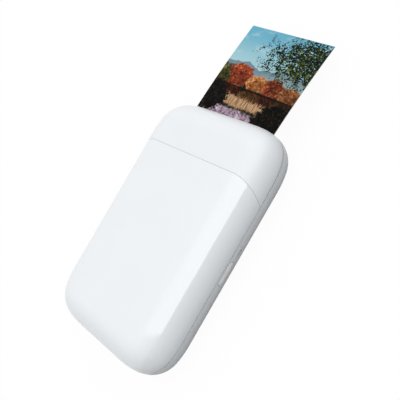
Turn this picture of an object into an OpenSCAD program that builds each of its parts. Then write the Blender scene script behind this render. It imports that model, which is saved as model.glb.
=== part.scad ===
// Compact photo printer: a palm-sized casing of base, hinged cover and end cap,
// with the paper tray, rollers, gears and print head that feed a sheet out of its end.
// +X is the side with the power button, +Y the end where prints come out, +Z up.
// The origin lies under the middle of the casing, on the surface that it stands on.

/* [Sheet] */
// Width of a sheet
sheet_w = 50; // [48:0.5:52]
// Length of a sheet
sheet_l = 76; // [72:0.5:80]
// Thickness of a sheet
sheet_t = 0.23; // [0.18:0.01:0.26]
// Sheets in the tray
stack_count = 8; // [1:1:8]
// Gap between one sheet and the next
stack_air = 0.02; // [0.01:0.01:0.03]
// Gap between the stack and the back edge of the sheet that is in the slot
stack_gap = 2; // [1.8:0.1:3]
// Radius that the hanging end of that sheet bends to
droop_r = 450; // [300:10:900]
// Turn of that sheet in its slot, in degrees
sheet_skew = 3.4; // [0:0.1:3.8]

/* [Casing] */
// From a sheet's edge to the side of the casing
side_room = 12.5; // [11.5:0.1:14]
// From the tail end to the stack of sheets
tail_room = 8; // [7.5:0.1:10]
// From the exit roller's axis to the exit end
exit_room = 11.5; // [11:0.1:14]
// Height of the casing
body_t = 23.5; // [22:0.1:26]
// Height of the line where the base ends and the cover and cap begin
parting_z = 11.7; // [11:0.1:12.4]
// Radius of the roll between the underside and the sides
base_roll = 10; // [9:0.1:11]
// Tightest radius of the corners, seen from above
corner_r = 14.75; // [14:0.05:16]
// How far the corners ease into the sides
corner_ease = 0.65; // [0.5:0.05:0.7]
// Wall of the three shells
wall = 1.8; // [1.4:0.1:2]
// Gap between the base's rim and the parts above it
rim_gap = 0.2; // [0.1:0.02:0.26]

/* [Cover seam] */
// From the stack's front edge to the seam on top
seam_ahead = 7.5; // [7:0.1:10]
// How far the seam runs back for each millimetre that it goes down
seam_lean = 0.57; // [0.4:0.01:0.6]
// Width of the seam
seam_gap = 0.14; // [0.12:0.02:0.3]

/* [Exit slot] */
// Height of the trim at the exit end, where it is tallest
trim_h = 1.2; // [1.1:0.1:1.6]
// How far the trim sits behind the shells
trim_inset = 0.1; // [0.1:0.05:0.4]
// Wall of the trim
trim_wall = 1.2; // [1:0.1:1.4]
// Gap between a sheet's edge and the end of the slot
slot_gap = 2.5; // [2:0.1:4]
// Height of the feed path over the parting line
path_rise = 0.5; // [0.4:0.05:0.6]

/* [Tray and frame] */
// How far the tray's floor lies under the feed path
tray_drop = 0.65; // [0.5:0.05:0.8]
// Thickness of the tray's floor
tray_t = 1.2; // [0.8:0.1:1.4]
// Height of the paper guides over the floor
guide_h = 3; // [2:0.1:3.5]
// Gap between a sheet's edge and its guide
guide_gap = 0.4; // [0.3:0.05:0.6]
// Thickness of a paper guide
guide_t = 1.2; // [0.8:0.1:1.4]
// Gap between a sheet's edge and a side plate
plate_gap = 2.2; // [2:0.1:2.6]
// Thickness of a side plate
plate_t = 1.4; // [1:0.1:1.6]
// Height of the side plates' lower edge over the floor of the base
plate_low_h = 2.4; // [2:0.1:3]
// Height of the side plates' upper edge over the feed path, beside the print head
plate_high_h = 5.3; // [5:0.1:5.6]

/* [Rollers] */
// From the stack's front edge back to the pick-up roller's axis
pickup_behind = 8; // [7:0.1:9]
// From the stack's front edge on to the platen's axis
platen_ahead = 10; // [9:0.1:11]
// From the platen's axis on to the exit roller's axis
exit_ahead = 10.5; // [10:0.1:11.5]
// Gap between a roller and the sheet that it drives
nip_gap = 0.25; // [0.2:0.05:0.4]
// Radius of the platen's rubber
platen_r = 4; // [3.8:0.1:4.3]
// How far the platen reaches past a sheet's edge
platen_over = 1; // [0.5:0.1:1.4]
// Radius of the pick-up tyre
pickup_r = 3.2; // [3:0.1:3.5]
// Length of the pick-up tyre
pickup_l = 30; // [20:1:34]
// Radius of the exit tyres
exit_r = 2.5; // [2.3:0.1:2.7]
// Radius of the pinch rollers over them
pinch_r = 2; // [1.8:0.1:2.2]
// Radius of the pinch rollers' shaft
pinch_shaft_r = 0.8; // [0.6:0.05:0.9]
// Width of an exit tyre and of a pinch roller
tyre_w = 6; // [4:0.5:7]
// Distance of those tyres from the middle
tyre_x = 15; // [10:0.5:16]
// Radius of the rollers' steel shafts
shaft_r = 1.2; // [1:0.05:1.3]
// Radial clearance of a shaft in its bush
shaft_play = 0.05; // [0.02:0.01:0.08]
// Wall of a bush
bush_wall = 0.8; // [0.6:0.1:1]

/* [Gears] */
// Pitch diameter for each tooth
gear_m = 0.4; // [0.38:0.01:0.42]
// Width of a gear's teeth
gear_w = 1.2; // [1:0.1:1.3]
// Gap between the gears' planes, and between them and the plate
gear_gap = 0.4; // [0.3:0.05:0.5]
// Play between meshing teeth
backlash = 0.12; // [0.08:0.01:0.16]
// Teeth of the two platen gears and of the large reduction gear
platen_teeth = 20; // [18:1:20]
// Teeth of the motor pinion and of the small reduction gear
pinion_teeth = 10; // [9:1:11]
// Teeth of the pick-up roller's gear
pickup_teeth = 18; // [16:1:19]
// Teeth of the exit roller's gear
exit_teeth = 12; // [11:1:13]
// Radius of the posts that the idlers turn on
post_r = 0.8; // [0.6:0.05:0.9]

/* [Motor] */
// From the platen's axis back to the motor's
motor_behind = 9; // [8.5:0.1:9.8]
// Radius of the motor's can
motor_r = 4; // [3.6:0.1:4.2]
// Length of the motor's can
motor_l = 15; // [12:0.5:18]
// Gap between the motor and the floor, and between it and the tray
motor_gap = 0.3; // [0.2:0.05:0.4]
// Radius of the motor's shaft
motor_shaft_r = 0.7; // [0.5:0.05:0.8]

/* [Print head] */
// Depth of the head's ceramic bar along the feed
head_d = 7; // [6:0.5:8]
// Thickness of the ceramic bar
head_t = 0.8; // [0.6:0.05:1]
// Height of the heat sink over the bar
sink_h = 3; // [2:0.1:3.3]
// Gap between the head and the sheet
head_gap = 0.2; // [0.15:0.05:0.3]
// From the platen's axis on to the head's pivot
pivot_ahead = 6.2; // [6:0.1:6.6]
// Height of the head's pivot over the feed path
pivot_rise = 3.2; // [3:0.1:3.5]
// Radius of the head's pivot pins
head_pin_r = 0.8; // [0.6:0.05:0.9]

/* [Cover] */
// Distance of the hinge axis from the tail end
hinge_inset = 1.9; // [1.8:0.05:2.1]
// Height of the hinge axis over the parting line
hinge_rise = 1.9; // [1.7:0.05:2.1]
// Distance of a hinge pin's middle from the casing's middle
hinge_x = 18; // [14:0.5:20]
// Radius of a hinge pin
hinge_pin_r = 0.45; // [0.35:0.05:0.5]
// Width of the ear that the frame puts into the hinge
ear_w = 2.4; // [2:0.1:3]
// Thickness of the pressure plate under the cover
press_t = 1; // [0.8:0.1:1.2]
// How far the pressure plate can rise
press_travel = 1.8; // [1:0.1:2]
// Distance of the pressure plate's two springs from the middle
press_x = 15; // [12:0.5:17]
// Where those springs lie along the casing
press_y = -4; // [-8:0.5:0]

/* [Button and light] */
// Length of the power button
button_l = 11; // [10:0.1:14]
// Height of the power button
button_h = 2.6; // [2.2:0.1:3]
// From the circuit board's back edge to the button's middle
button_ahead = 2.6; // [2.2:0.1:3.2]
// How far the button's middle lies under the parting line
button_drop = 2.5; // [2.5:0.1:3]
// How far the button goes in
button_travel = 0.5; // [0.3:0.05:0.5]
// How far the button stands out of the side
button_proud = 0.2; // [0.1:0.05:0.4]
// Radius that the button is crowned to
button_crown = 3.2; // [1.8:0.1:4]
// From the button's middle to the status light's
light_ahead = 10.4; // [10:0.1:12]
// How far the light's middle lies under the parting line
light_drop = 3.2; // [2.6:0.1:3.4]
// Length of the light's window
light_l = 2.8; // [2:0.1:3]
// Height of the light's window
light_h = 0.9; // [0.8:0.05:1.2]

/* [Electronics] */
// From the side of the casing to the circuit board's edge
board_side = 6.5; // [6:0.1:7.5]
// Length of the circuit board
board_l = 18.5; // [17:0.5:20]
// Gap between the board and the pick-up tyre
board_gap = 2.3; // [2:0.1:3]
// Thickness of the circuit board
board_t = 1; // [0.8:0.1:1.2]
// Height of the posts that it stands on, over the floor
board_post_h = 1.6; // [1.5:0.1:2]
// Width of the battery
battery_w = 44; // [36:1:48]
// Length of the battery
battery_l = 36; // [30:1:39]
// Thickness of the battery
battery_t = 5.5; // [4:0.1:6]
// Thickness of the pad that holds the battery down
battery_pad_t = 0.3; // [0.2:0.05:0.5]

/* [Hidden] */
$fn = 64;

// A length past every piece, and a sliver that keeps two cuts apart
far = 200;
eps = 0.01;

// Overall size, and the places along the casing of the stack and the rollers
body_w = sheet_w + 2 * side_room;
body_l = tail_room + sheet_l + platen_ahead + exit_ahead + exit_room;
half_w = body_w / 2;
half_l = body_l / 2;
stack_back = tail_room - half_l;
stack_front = stack_back + sheet_l;
pickup_y = stack_front - pickup_behind;
platen_y = stack_front + platen_ahead;
exit_y = platen_y + exit_ahead;
motor_y = platen_y - motor_behind;

// Shell outline: side arcs of one radius and tighter corner arcs, met on lines of a 9-40-41 triangle
top_roll = body_t - parting_z;
ease_long = 40 * corner_ease;
ease_short = 9 * corner_ease;
side_r = corner_r + 41 * corner_ease;
corner_x = half_w - side_r + ease_long;
corner_y = half_l - side_r + ease_long;
floor_z = wall + eps;
ceiling_z = body_t - wall - eps;

// Slanted cover seam, as the Y that it crosses at a height
seam_y = stack_front + seam_ahead;
function seam_at(z) = seam_y - seam_lean * (body_t - z);
seam_foot = seam_at(parting_z);

// Feed path and the axes of what drives it, as [y, z]
path_z = parting_z + path_rise;
tray_z = path_z - tray_drop;
sheet_top = path_z + sheet_t;
roller_top = path_z - nip_gap;
platen = [platen_y, roller_top - platen_r];
stack_z = tray_z + stack_air;
pickup = [pickup_y, stack_z - nip_gap - pickup_r];
exit = [exit_y, roller_top - exit_r];
pinch = [exit_y, sheet_top + nip_gap + pinch_r];
motor = [motor_y, floor_z + motor_gap + motor_r];
function pitch(teeth) = gear_m * teeth / 2;
function gear_tip(teeth) = pitch(teeth) + 0.9 * gear_m;

// Fewest teeth, and half a tooth to spare, with which an idler reaches two gears a distance apart
function idler_teeth(a, teeth_a, b, teeth_b) = ceil(norm(a - b) / gear_m - (teeth_a + teeth_b - 1) / 2);
pickup_idler_teeth = idler_teeth(pickup, pickup_teeth, platen, platen_teeth);
exit_idler_teeth = idler_teeth(exit, exit_teeth, platen, platen_teeth);

// Centre that lies ra from a and rb from b, on the left of the way from a to b
function meet(a, ra, b, rb) =
    let(d = norm(b - a), u = (b - a) / d, s = (d * d + ra * ra - rb * rb) / (2 * d))
    a + s * u + sqrt(ra * ra - s * s) * [-u[1], u[0]];
reduction = meet(motor, pitch(pinion_teeth) + pitch(platen_teeth),
    platen, pitch(platen_teeth) + pitch(pinion_teeth));
pickup_idle = meet(pickup, pitch(pickup_teeth) + pitch(pickup_idler_teeth),
    platen, pitch(platen_teeth) + pitch(pickup_idler_teeth));
exit_idle = meet(exit, pitch(exit_teeth) + pitch(exit_idler_teeth),
    platen, pitch(platen_teeth) + pitch(exit_idler_teeth));

// Turn of each gear so that a tooth of one stands in a gap of the next
function bearing(a, b) = atan2(b[1] - a[1], b[0] - a[0]);
function mesh_turn(turn_a, teeth_a, way, teeth_b) =
    way + 180 - (180 - teeth_a * (way - turn_a)) / teeth_b;
small_turn = mesh_turn(0, platen_teeth, bearing(platen, reduction), pinion_teeth);
pinion_turn = mesh_turn(0, platen_teeth, bearing(reduction, motor), pinion_teeth);
pickup_idle_turn = mesh_turn(0, platen_teeth, bearing(platen, pickup_idle), pickup_idler_teeth);
pickup_turn = mesh_turn(pickup_idle_turn, pickup_idler_teeth, bearing(pickup_idle, pickup), pickup_teeth);
exit_idle_turn = mesh_turn(0, platen_teeth, bearing(platen, exit_idle), exit_idler_teeth);
exit_turn = mesh_turn(exit_idle_turn, exit_idler_teeth, bearing(exit_idle, exit), exit_teeth);

// Planes along X: plates, then the first gear plane, then the second
plate_in = sheet_w / 2 + plate_gap;
plate_out = plate_in + plate_t;
plane_one = plate_out + gear_gap;
plane_two = plane_one + gear_w + gear_gap;
shaft_end = plane_two + gear_w;
platen_l = sheet_w + 2 * platen_over;
slot_w = sheet_w + 2 * slot_gap;

// Screws, the bosses that they go into, and the feet
boss_r = 2.2;
boss_clear = 0.05;
boss_top = 6;
screw_r = 0.8;
screw_hole_r = 0.95;
pilot_r = 0.8;
head_r = 1.5;
head_h = 0.8;
head_hole_r = 1.7;
case_head_z = 1.3;
drive_r = 0.7;
boss_room = 0.8;
boss_ahead = 6;
shaft_room = 0.4;
rear_boss = [battery_w / 2 + boss_r + boss_room, stack_back + boss_ahead];
front_boss = [tyre_x + tyre_w / 2 + boss_r + boss_room, exit_y + shaft_r + boss_r + shaft_room];
foot_r = 3.5;
foot_h = 0.9;
foot_side = 15.5;
foot_x = half_w - foot_side;
foot_inset = 23;
foot_ys = [foot_inset - half_l, half_l - foot_inset];

// Frame: tray, guides, plates and crossbars
well_gap = 0.6;
bar_gap = 0.5;
tray_back = stack_back - well_gap;
tray_front = platen_y - platen_r - well_gap;
guide_in = sheet_w / 2 + guide_gap;
plates_back = pickup_y - pickup_r - board_gap + 0.7;
plates_front = exit_y + exit_r + 2.4;
plate_cut = 2;
plate_low = floor_z + plate_low_h;
plate_high = path_z + plate_high_h;
plate_rear_top = tray_z + guide_h;
plate_front_top = pinch[1] + pinch_shaft_r + 0.9;
bar_top = path_z - 0.3;
post_pilot_top = tray_z - tray_t / 3;
lip_t = 3;
pad_w = 12;
pad_l = 2.6;
pad_t = 0.4;
pad_y = seam_foot - 4;
bush_hole = shaft_r + bush_wall + 0.02;
gear_hub_r = post_r + 0.5;
motor_boss_r = 1.5;

// Screws that pull the end cap down on a flange of each side plate
cap_boss = [half_w - 4.6, (platen_y + gear_tip(platen_teeth) + exit_y - gear_tip(exit_teeth)) / 2];
cap_flange_w = 2;
cap_flange_t = 1.4;
cap_flange_r = 1.9;
cap_boss_z = bar_top + boss_clear;
cap_screw_grip = 4;
cap_screw_l = cap_flange_t + cap_screw_grip;

// Hinge: a bead on the cover's tail edge turns in a groove of the base's rim
hinge_y = -half_l + hinge_inset;
hinge_z = parting_z + hinge_rise;
bead_r = norm([hinge_inset, hinge_rise]);
bead_gap = 0.15;
ear_r = 0.95;
ear_gap = 0.3;
neck_drop = 0.35;
lug_r = 1.25;
lug_w = 1.6;
lug_x = (ear_w + lug_w) / 2 + ear_gap;
pin_l = ear_w + 2 * ear_gap + 2 * lug_w;
pin_play = 0.03;

// Magnets in the cover over steel keepers on the base
keeper_y = stack_front - 10;
keeper_x = half_w - 5.1;
keeper_z = parting_z - 0.5;
keeper_h = 0.8;
keeper_arm = 1.5;
keeper_arm_low = keeper_z - 1.6;
magnet_r = 1.4;
magnet_h = 1.2;
magnet_z = keeper_z + keeper_h + 0.3;
magnet_boss_r = 2.1;

// Pressure plate, hung in the cover on two stems with a spring round each
press_z = stack_z + stack_count * (sheet_t + stack_air) + 0.3;
press_top = press_z + press_t;
press_w = sheet_w - 4;
press_ends = [18, 4];
press_back = stack_back + press_ends[0];
press_front = stack_front - press_ends[1];
press_window = [16, 8];
stem_r = 1.5;
stem_head_r = 2.1;
stem_head_h = 0.8;
stem_play = 0.15;
boss_lip = 1;
press_boss_r = stem_head_r + 0.9;
press_boss_low = press_top + press_travel + 0.4;
stem_head_low = press_boss_low + boss_lip + 0.3;
press_spring_t = 0.6;
press_spring_r = press_boss_r + 0.2 + press_spring_t;

// Print head and its heat sink, which swing on pins in the side plates
head_pivot_y = platen_y + pivot_ahead;
head_pivot_z = path_z + pivot_rise;
head_z = sheet_top + head_gap;
sink_z = head_z + head_t;
sink_top = sink_z + sink_h;
sink_back = platen_y - head_d / 2 - 1.2;
sink_front = platen_y + head_d / 2;
sink_floor = 1;
fin_pitch = 3;
fin_cut = 1.4;
head_l = platen_l;
arm_w = 3;
arm_r = 1.4;
arm_lift = 0.6;
plate_step = head_pivot_y + arm_r + 0.6;
plate_ramp = 1;
head_spring_x = 16;
head_spring_r = 2;
head_spring_t = 0.5;
peg_r = 1.2;
peg_h = 2;

// Board, what stands on it, and the sockets and switch at the casing's sides
board_w = body_w - 2 * board_side;
board_front = pickup_y - pickup_r - board_gap;
board_z = floor_z + board_post_h;
board_top = board_z + board_t;
board_back = board_front - board_l;
button_y = board_back + button_ahead;
board_post_r = 1.8;
board_posts = [for (y = [board_back + 2.5, board_front - 2.5]) [board_w / 2 - 8, y]];
board_hole_r = 0.9;
board_pilot_r = 0.64;
board_head_r = 1.3;
board_screw_r = 0.6;
usb_ahead = 9;
usb_y = board_back + usb_ahead;
usb = [7.4, 9, 3.2];
usb_mouth = half_w - 2.6;
usb_wall = 0.3;
usb_play = 0.7;
usb_tongue = 0.7;
switch_size = [3, 4, 4];
switch_x = board_w / 2 - 3.5;
plunger_r = 0.7;
plunger_out = button_travel + 0.3;
plunger_z = board_top + switch_size[2] / 2;
plunger_tip = switch_x + switch_size[0] + plunger_out;
button_z = parting_z - button_drop;
button_gap = 0.18;
button_room = 2.1;
button_rib = [2.4, 1.6];
flange_x = half_w - wall - button_room;
flange_t = 1;
flange_lap = 0.8;
side_cut = 4;
light_y = button_y + light_ahead;
light_z = parting_z - light_drop;
light_x = board_w / 2 - 2.2;
light_w = 1.6;
light_inset = 0.35;
lamp_h = 0.6;
driver_at = [12, 8];
driver_chip = [7, 7, 0.9];
power_at = [-19, 3];
power_chip = [6, 5, 0.8];
small_at = [-14, 12.4];
small_pitch = 2.4;
small_part = [1.4, 1, 0.5];
can = [16, 9, 1.8];
can_inset = 2;
socket_inset = 0.6;
battery_z = floor_z + battery_pad_t;
battery_front = board_back - 2;
battery_lead_r = 0.5;
battery_lead_z = board_top + 1.2;
battery_lead_xs = [12.5, 14, 15.5];
battery_socket = [8, 3.4, 2.2];

// Flat cable from its socket on the board, outside the gears and over the plate to the head
ribbon_t = 0.15;
ribbon_w = 3.2;
ribbon_x = shaft_end + 0.5;
riser_x = plate_out + 0.4;
ribbon_socket = [3.4, 4.6, 1.4];
ribbon_socket_x = 2.6 - board_w / 2;
ribbon_back = board_front - 4.2;
ribbon_low = board_top + ribbon_socket[2] + 0.3;
ribbon_y = plate_step + plate_ramp + 0.2;
ribbon_top = plate_front_top + 0.4;
ribbon_end = head_l / 2 - arm_w - 0.4;

// Plan of the shells, in the half plane of a turning or running profile with its outer edge rolled
module roll_profile(r, h, roll) {
    square([r - roll, h]);
    if (h > roll) square([r, h - roll]);
    translate([r - roll, h - roll]) intersection() {
        circle(roll);
        square(roll);
    }
}

// One arc of a corner, cut to the wedge between its two end lines
module corner_arc(centre, r, h, roll, wedge) {
    intersection() {
        translate(centre) rotate_extrude() roll_profile(r, h, roll);
        translate([0, 0, -1]) linear_extrude(h + 2) polygon(wedge);
    }
}

// A corner: side arc, corner arc and end arc, each meeting the next on a common line
module corner_form(h, roll, inset) {
    middle = [corner_x, corner_y];
    low = middle + [ease_long, ease_short];
    high = middle + [ease_short, ease_long];
    corner_arc([corner_x - ease_long, corner_y - ease_short, 0], side_r - inset, h, roll,
        [[corner_x, corner_y - ease_short], [body_w, corner_y - ease_short], low, middle]);
    corner_arc([corner_x, corner_y, 0], corner_r - inset, h, roll,
        [middle, low, [body_w, body_l], high]);
    corner_arc([corner_x - ease_short, corner_y - ease_long, 0], side_r - inset, h, roll,
        [middle, high, [corner_x - ease_short, body_l], [corner_x - ease_short, corner_y]]);
}

// Half of the casing's form, flat underneath and rolled on top, drawn in by an inset
module half_form(h, roll, inset) {
    translate([-corner_x, -corner_y, 0]) cube([2 * corner_x, 2 * corner_y, h]);
    for (side = [0, 1]) mirror([side, 0, 0]) {
        translate([corner_x, corner_y - ease_short, 0]) rotate([90, 0, 0])
            linear_extrude(2 * (corner_y - ease_short))
                roll_profile(half_w - corner_x - inset, h, roll);
        for (end = [0, 1]) mirror([0, end, 0]) corner_form(h, roll, inset);
    }
    for (end = [0, 1]) mirror([0, end, 0])
        translate([ease_short - corner_x, corner_y, 0]) rotate([90, 0, 90])
            linear_extrude(2 * (corner_x - ease_short))
                roll_profile(half_l - corner_y - inset, h, roll);
}
module top_form(inset) {
    translate([0, 0, parting_z]) half_form(top_roll - inset, top_roll - inset, inset);
}
module base_form(inset) {
    translate([0, 0, parting_z]) mirror([0, 0, 1]) half_form(parting_z - inset, base_roll - inset, inset);
}
module top_ring(inset, thickness) {
    difference() {
        top_form(inset);
        translate([0, 0, -eps]) top_form(inset + thickness);
    }
}
module base_ring() {
    difference() {
        base_form(0);
        translate([0, 0, eps]) base_form(wall);
    }
}

// A side view, as Y and Z, run across the casing
module across(width) {
    rotate([90, 0, 90]) translate([0, 0, -width / 2]) linear_extrude(width) children();
}
// Round pieces along X on an axis at [y, z]: by middle and length, by two ends, and hollow
module rod(at, r, x, length) {
    translate([x - length / 2, at[0], at[1]]) rotate([0, 90, 0]) cylinder(r = r, h = length);
}
module bar(at, r, x0, x1) {
    rod(at, r, (x0 + x1) / 2, x1 - x0);
}
module tube(at, r_out, r_in, x, length) {
    difference() {
        rod(at, r_out, x, length);
        rod(at, r_in, x, length + 2);
    }
}
// Round pieces that stand at [x, y]: solid, and as the sleeve that a spring fills
module post(at, z, r, h) {
    translate([at[0], at[1], z]) cylinder(r = r, h = h);
}
module sleeve(at, z0, z1, r, thickness) {
    difference() {
        post(at, z0, r, z1 - z0);
        post(at, z0 - 1, r - thickness, z1 - z0 + 2);
    }
}
// A bar with round ends that lies along Y, with its middle at [y, z], and is drawn out along X
module pill(x0, x1, at, length, height) {
    translate([x0, at[0], at[1]]) rotate([90, 0, 90]) linear_extrude(x1 - x0) {
        square([length - height, height], center = true);
        for (end = [-1, 1]) translate([end * (length - height) / 2, 0]) circle(height / 2);
    }
}
module block(low, high) {
    translate(low) cube(high - low);
}
module both_sides() {
    children();
    mirror([1, 0, 0]) children();
}

// Gear teeth with flanks that narrow from the root to the tip, as an involute's do
module gear_plan(teeth, turn) {
    r = pitch(teeth);
    step = 360 / teeth;
    half = step / 4 - backlash / (2 * r) * 180 / PI;
    flank = [[-1.15, 1.42], [-0.45, 1.2], [0, 1], [0.45, 0.68], [0.9, 0.34]];
    rows = [for (p = flank) [r + p[0] * gear_m, -p[1]], for (i = [4 : -1 : 0])
        [r + flank[i][0] * gear_m, flank[i][1]]];
    polygon([for (i = [0 : teeth - 1], row = rows)
        let(angle = turn + i * step + row[1] * half) row[0] * [cos(angle), sin(angle)]]);
}
module gear(at, teeth, turn, x, bore) {
    difference() {
        translate([x, at[0], at[1]]) rotate([90, 0, 90]) linear_extrude(gear_w) gear_plan(teeth, turn);
        rod(at, bore, x, 4 * gear_w);
    }
}
// A screw with its head down, from the underside of the head to the tip
module screw(at, z, length) {
    post(at, z - eps, screw_r, length + eps);
    difference() {
        post(at, z - head_h, head_r, head_h);
        translate([at[0], at[1], z - head_h - eps]) cylinder(r = drive_r, h = head_h / 2, $fn = 6);
    }
}

// Base: floor and rolled sides, with the bosses, posts and keeper arms that rise from them
module base_shell() {
    color("#dfe3e6") difference() {
        union() {
            base_ring();
            intersection() {
                base_form(wall / 2);
                both_sides() {
                    for (at = [rear_boss, front_boss]) post(at, 0, boss_r, boss_top);
                    for (at = board_posts) post(at, 0, board_post_r, board_z - boss_clear);
                    block([keeper_x - keeper_arm, keeper_y - keeper_arm, keeper_arm_low],
                        [half_w, keeper_y + keeper_arm, keeper_z]);
                }
            }
        }
        translate([-far / 2, -far / 2, parting_z - rim_gap]) cube(far);
        rod([hinge_y, hinge_z], bead_r + bead_gap, 0, far);
        bar(platen, gear_tip(platen_teeth) + gear_gap, -shaft_end - gear_gap, shaft_end + gear_gap);
        both_sides() {
            for (at = [rear_boss, front_boss]) {
                post(at, -1, screw_hole_r, far);
                post(at, -1, head_hole_r, 1 + case_head_z + head_h);
            }
            for (at = board_posts) post(at, floor_z, board_pilot_r, far);
            for (y = foot_ys) post([foot_x, y], -1, foot_r + boss_clear, 1 + foot_h + boss_clear);
        }
        pill(half_w - side_cut, half_w + side_cut, [button_y, button_z],
            button_l + 2 * button_gap, button_h + 2 * button_gap);
        pill(half_w - side_cut, half_w + side_cut, [light_y, light_z], light_l, light_h);
        pill(-half_w - side_cut, -half_w + side_cut + wall, [usb_y, board_top + usb[2] / 2],
            usb[1] + usb_play, usb[2] + usb_play);
    }
}
module rubber_feet() {
    color("#3b3d40") both_sides() for (y = foot_ys) post([foot_x, y], 0, foot_r, foot_h);
}

// End cap: from the slanted seam to the exit end, over a lower edge that rises to the slot
module end_cap() {
    slope_end = parting_z + trim_h;
    color("#eceff1") difference() {
        union() {
            intersection() {
                top_ring(0, wall);
                across(far) polygon([[seam_foot, parting_z], [half_l, slope_end], [far, slope_end],
                    [far, far], [seam_foot, far]]);
                across(far) polygon([[seam_foot + seam_gap / 2, parting_z],
                    [seam_at(body_t) + seam_gap / 2, body_t], [seam_at(body_t) + seam_gap / 2, far],
                    [far, far], [far, parting_z]]);
            }
            intersection() {
                top_form(wall / 2);
                both_sides() {
                    post(cap_boss, cap_boss_z, boss_r, far);
                    post([head_spring_x, platen_y], ceiling_z - peg_h, peg_r, far);
                }
            }
        }
        both_sides() post(cap_boss, 0, pilot_r, bar_top + cap_screw_l);
    }
}
// Trim: a wedge between the cap and the base that frames the slot
module slot_trim() {
    back = seam_foot + 3;
    air = 0.03;
    rise = trim_h * (back - seam_foot) / (half_l - seam_foot);
    color("#d5d9dc") difference() {
        intersection() {
            top_ring(trim_inset, trim_wall);
            across(far) polygon([[back, parting_z], [back, parting_z + rise - air],
                [half_l, parting_z + trim_h - air], [half_l, parting_z]]);
        }
        block([-slot_w / 2, half_l - corner_r, 0], [slot_w / 2, half_l + 1, far]);
    }
}

// Cover: from the hinge bead at the tail to the slanted seam, with magnet and stem bosses inside
module cover() {
    color("#f1f4f5") difference() {
        union() {
            intersection() {
                top_ring(0, wall);
                across(far) polygon([[-far, parting_z], [seam_foot - seam_gap / 2, parting_z],
                    [seam_at(body_t) - seam_gap / 2, body_t], [seam_at(body_t) - seam_gap / 2, far],
                    [-far, far]]);
            }
            intersection() {
                base_ring();
                rod([hinge_y, hinge_z], bead_r, 0, far);
            }
            both_sides() for (side = [-1, 1])
                rod([hinge_y, hinge_z], lug_r, hinge_x + side * lug_x, lug_w);
            intersection() {
                top_form(wall / 2);
                both_sides() {
                    post([keeper_x, keeper_y], magnet_z, magnet_boss_r, far);
                    post([press_x, press_y], press_boss_low, press_boss_r, far);
                }
            }
        }
        both_sides() {
            rod([hinge_y, hinge_z], ear_r + ear_gap, hinge_x, ear_w + 2 * ear_gap);
            rod([hinge_y, hinge_z], hinge_pin_r + pin_play, hinge_x, pin_l);
            post([keeper_x, keeper_y], 0, magnet_r + boss_clear, magnet_z + magnet_h + boss_clear);
            post([press_x, press_y], 0, stem_r + stem_play, ceiling_z);
            post([press_x, press_y], press_boss_low + boss_lip, stem_head_r + stem_play,
                ceiling_z - press_boss_low - boss_lip);
        }
    }
}
module hinge_pins() {
    color("silver") both_sides() rod([hinge_y, hinge_z], hinge_pin_r, hinge_x, pin_l - 2 * boss_clear);
}
module cover_magnets() {
    color("#b8b8bc") both_sides() post([keeper_x, keeper_y], magnet_z, magnet_r, magnet_h);
}
module magnet_keepers() {
    color("#8d9095") both_sides() post([keeper_x, keeper_y], keeper_z, magnet_r, keeper_h);
}

// Side plate that holds the rollers' bushes, low in the base and high over the print head
module plate_form() {
    translate([plate_in, 0, 0]) rotate([90, 0, 90]) linear_extrude(plate_t)
        polygon([[plates_back, plate_low], [plates_front - plate_cut, plate_low],
            [plates_front, plate_low + plate_cut], [plates_front, plate_front_top],
            [plate_step + plate_ramp, plate_front_top], [plate_step, plate_high],
            [seam_foot + 2, plate_high],
            [seam_foot - 2, plate_rear_top], [plates_back, plate_rear_top]]);
}
module side_plates() {
    color("#3a3d42") difference() {
        both_sides() {
            plate_form();
            block([plate_out - eps, cap_boss[1] - cap_flange_w / 2, bar_top - cap_flange_t],
                [cap_boss[0], cap_boss[1] + cap_flange_w / 2, bar_top]);
            post(cap_boss, bar_top - cap_flange_t, cap_flange_r, cap_flange_t);
        }
        for (at = [pickup, platen, exit]) rod(at, bush_hole, 0, far);
        rod(pinch, pinch_shaft_r + shaft_play, 0, far);
        rod([head_pivot_y, head_pivot_z], head_pin_r + shaft_play, 0, far);
        rod(motor, motor_boss_r, -plate_in, 3 * plate_t);
        rod(reduction, post_r, -plate_in, 3 * plate_t);
        for (at = [pickup_idle, exit_idle]) rod(at, post_r, plate_in, 3 * plate_t);
        both_sides() post(cap_boss, 0, screw_hole_r, far);
    }
}
// Bars between the side plates that carry the paper on past the rollers
module crossbars() {
    color("#3a3d42") {
        block([-plate_in, platen_y + platen_r + bar_gap, tray_z - tray_t],
            [plate_in, exit_y - exit_r - bar_gap, bar_top]);
        difference() {
            union() {
                block([-plate_in, exit_y + exit_r + bar_gap, tray_z - lip_t],
                    [plate_in, plates_front, bar_top]);
                both_sides() case_post(front_boss);
            }
            both_sides() post(front_boss, 0, pilot_r, post_pilot_top);
        }
    }
}
// Post down to a boss of the base
module case_post(at) {
    post(at, boss_top + boss_clear, boss_r, tray_z - tray_t / 2 - boss_top);
}
// Ear that reaches back from the tray's floor to the hinge pin
module hinge_ear() {
    low = tray_z - tray_t;
    neck_low = hinge_z - neck_drop;
    translate([hinge_x - ear_w / 2, 0, 0]) rotate([90, 0, 90]) linear_extrude(ear_w) {
        translate([hinge_y, hinge_z]) circle(ear_r);
        polygon([[hinge_y, neck_low], [hinge_y + bead_r + ear_gap, neck_low], [tray_back - 1.5, low],
            [tray_back + 0.3, low], [tray_back + 0.3, hinge_z + ear_r], [hinge_y, hinge_z + ear_r]]);
    }
}
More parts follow.
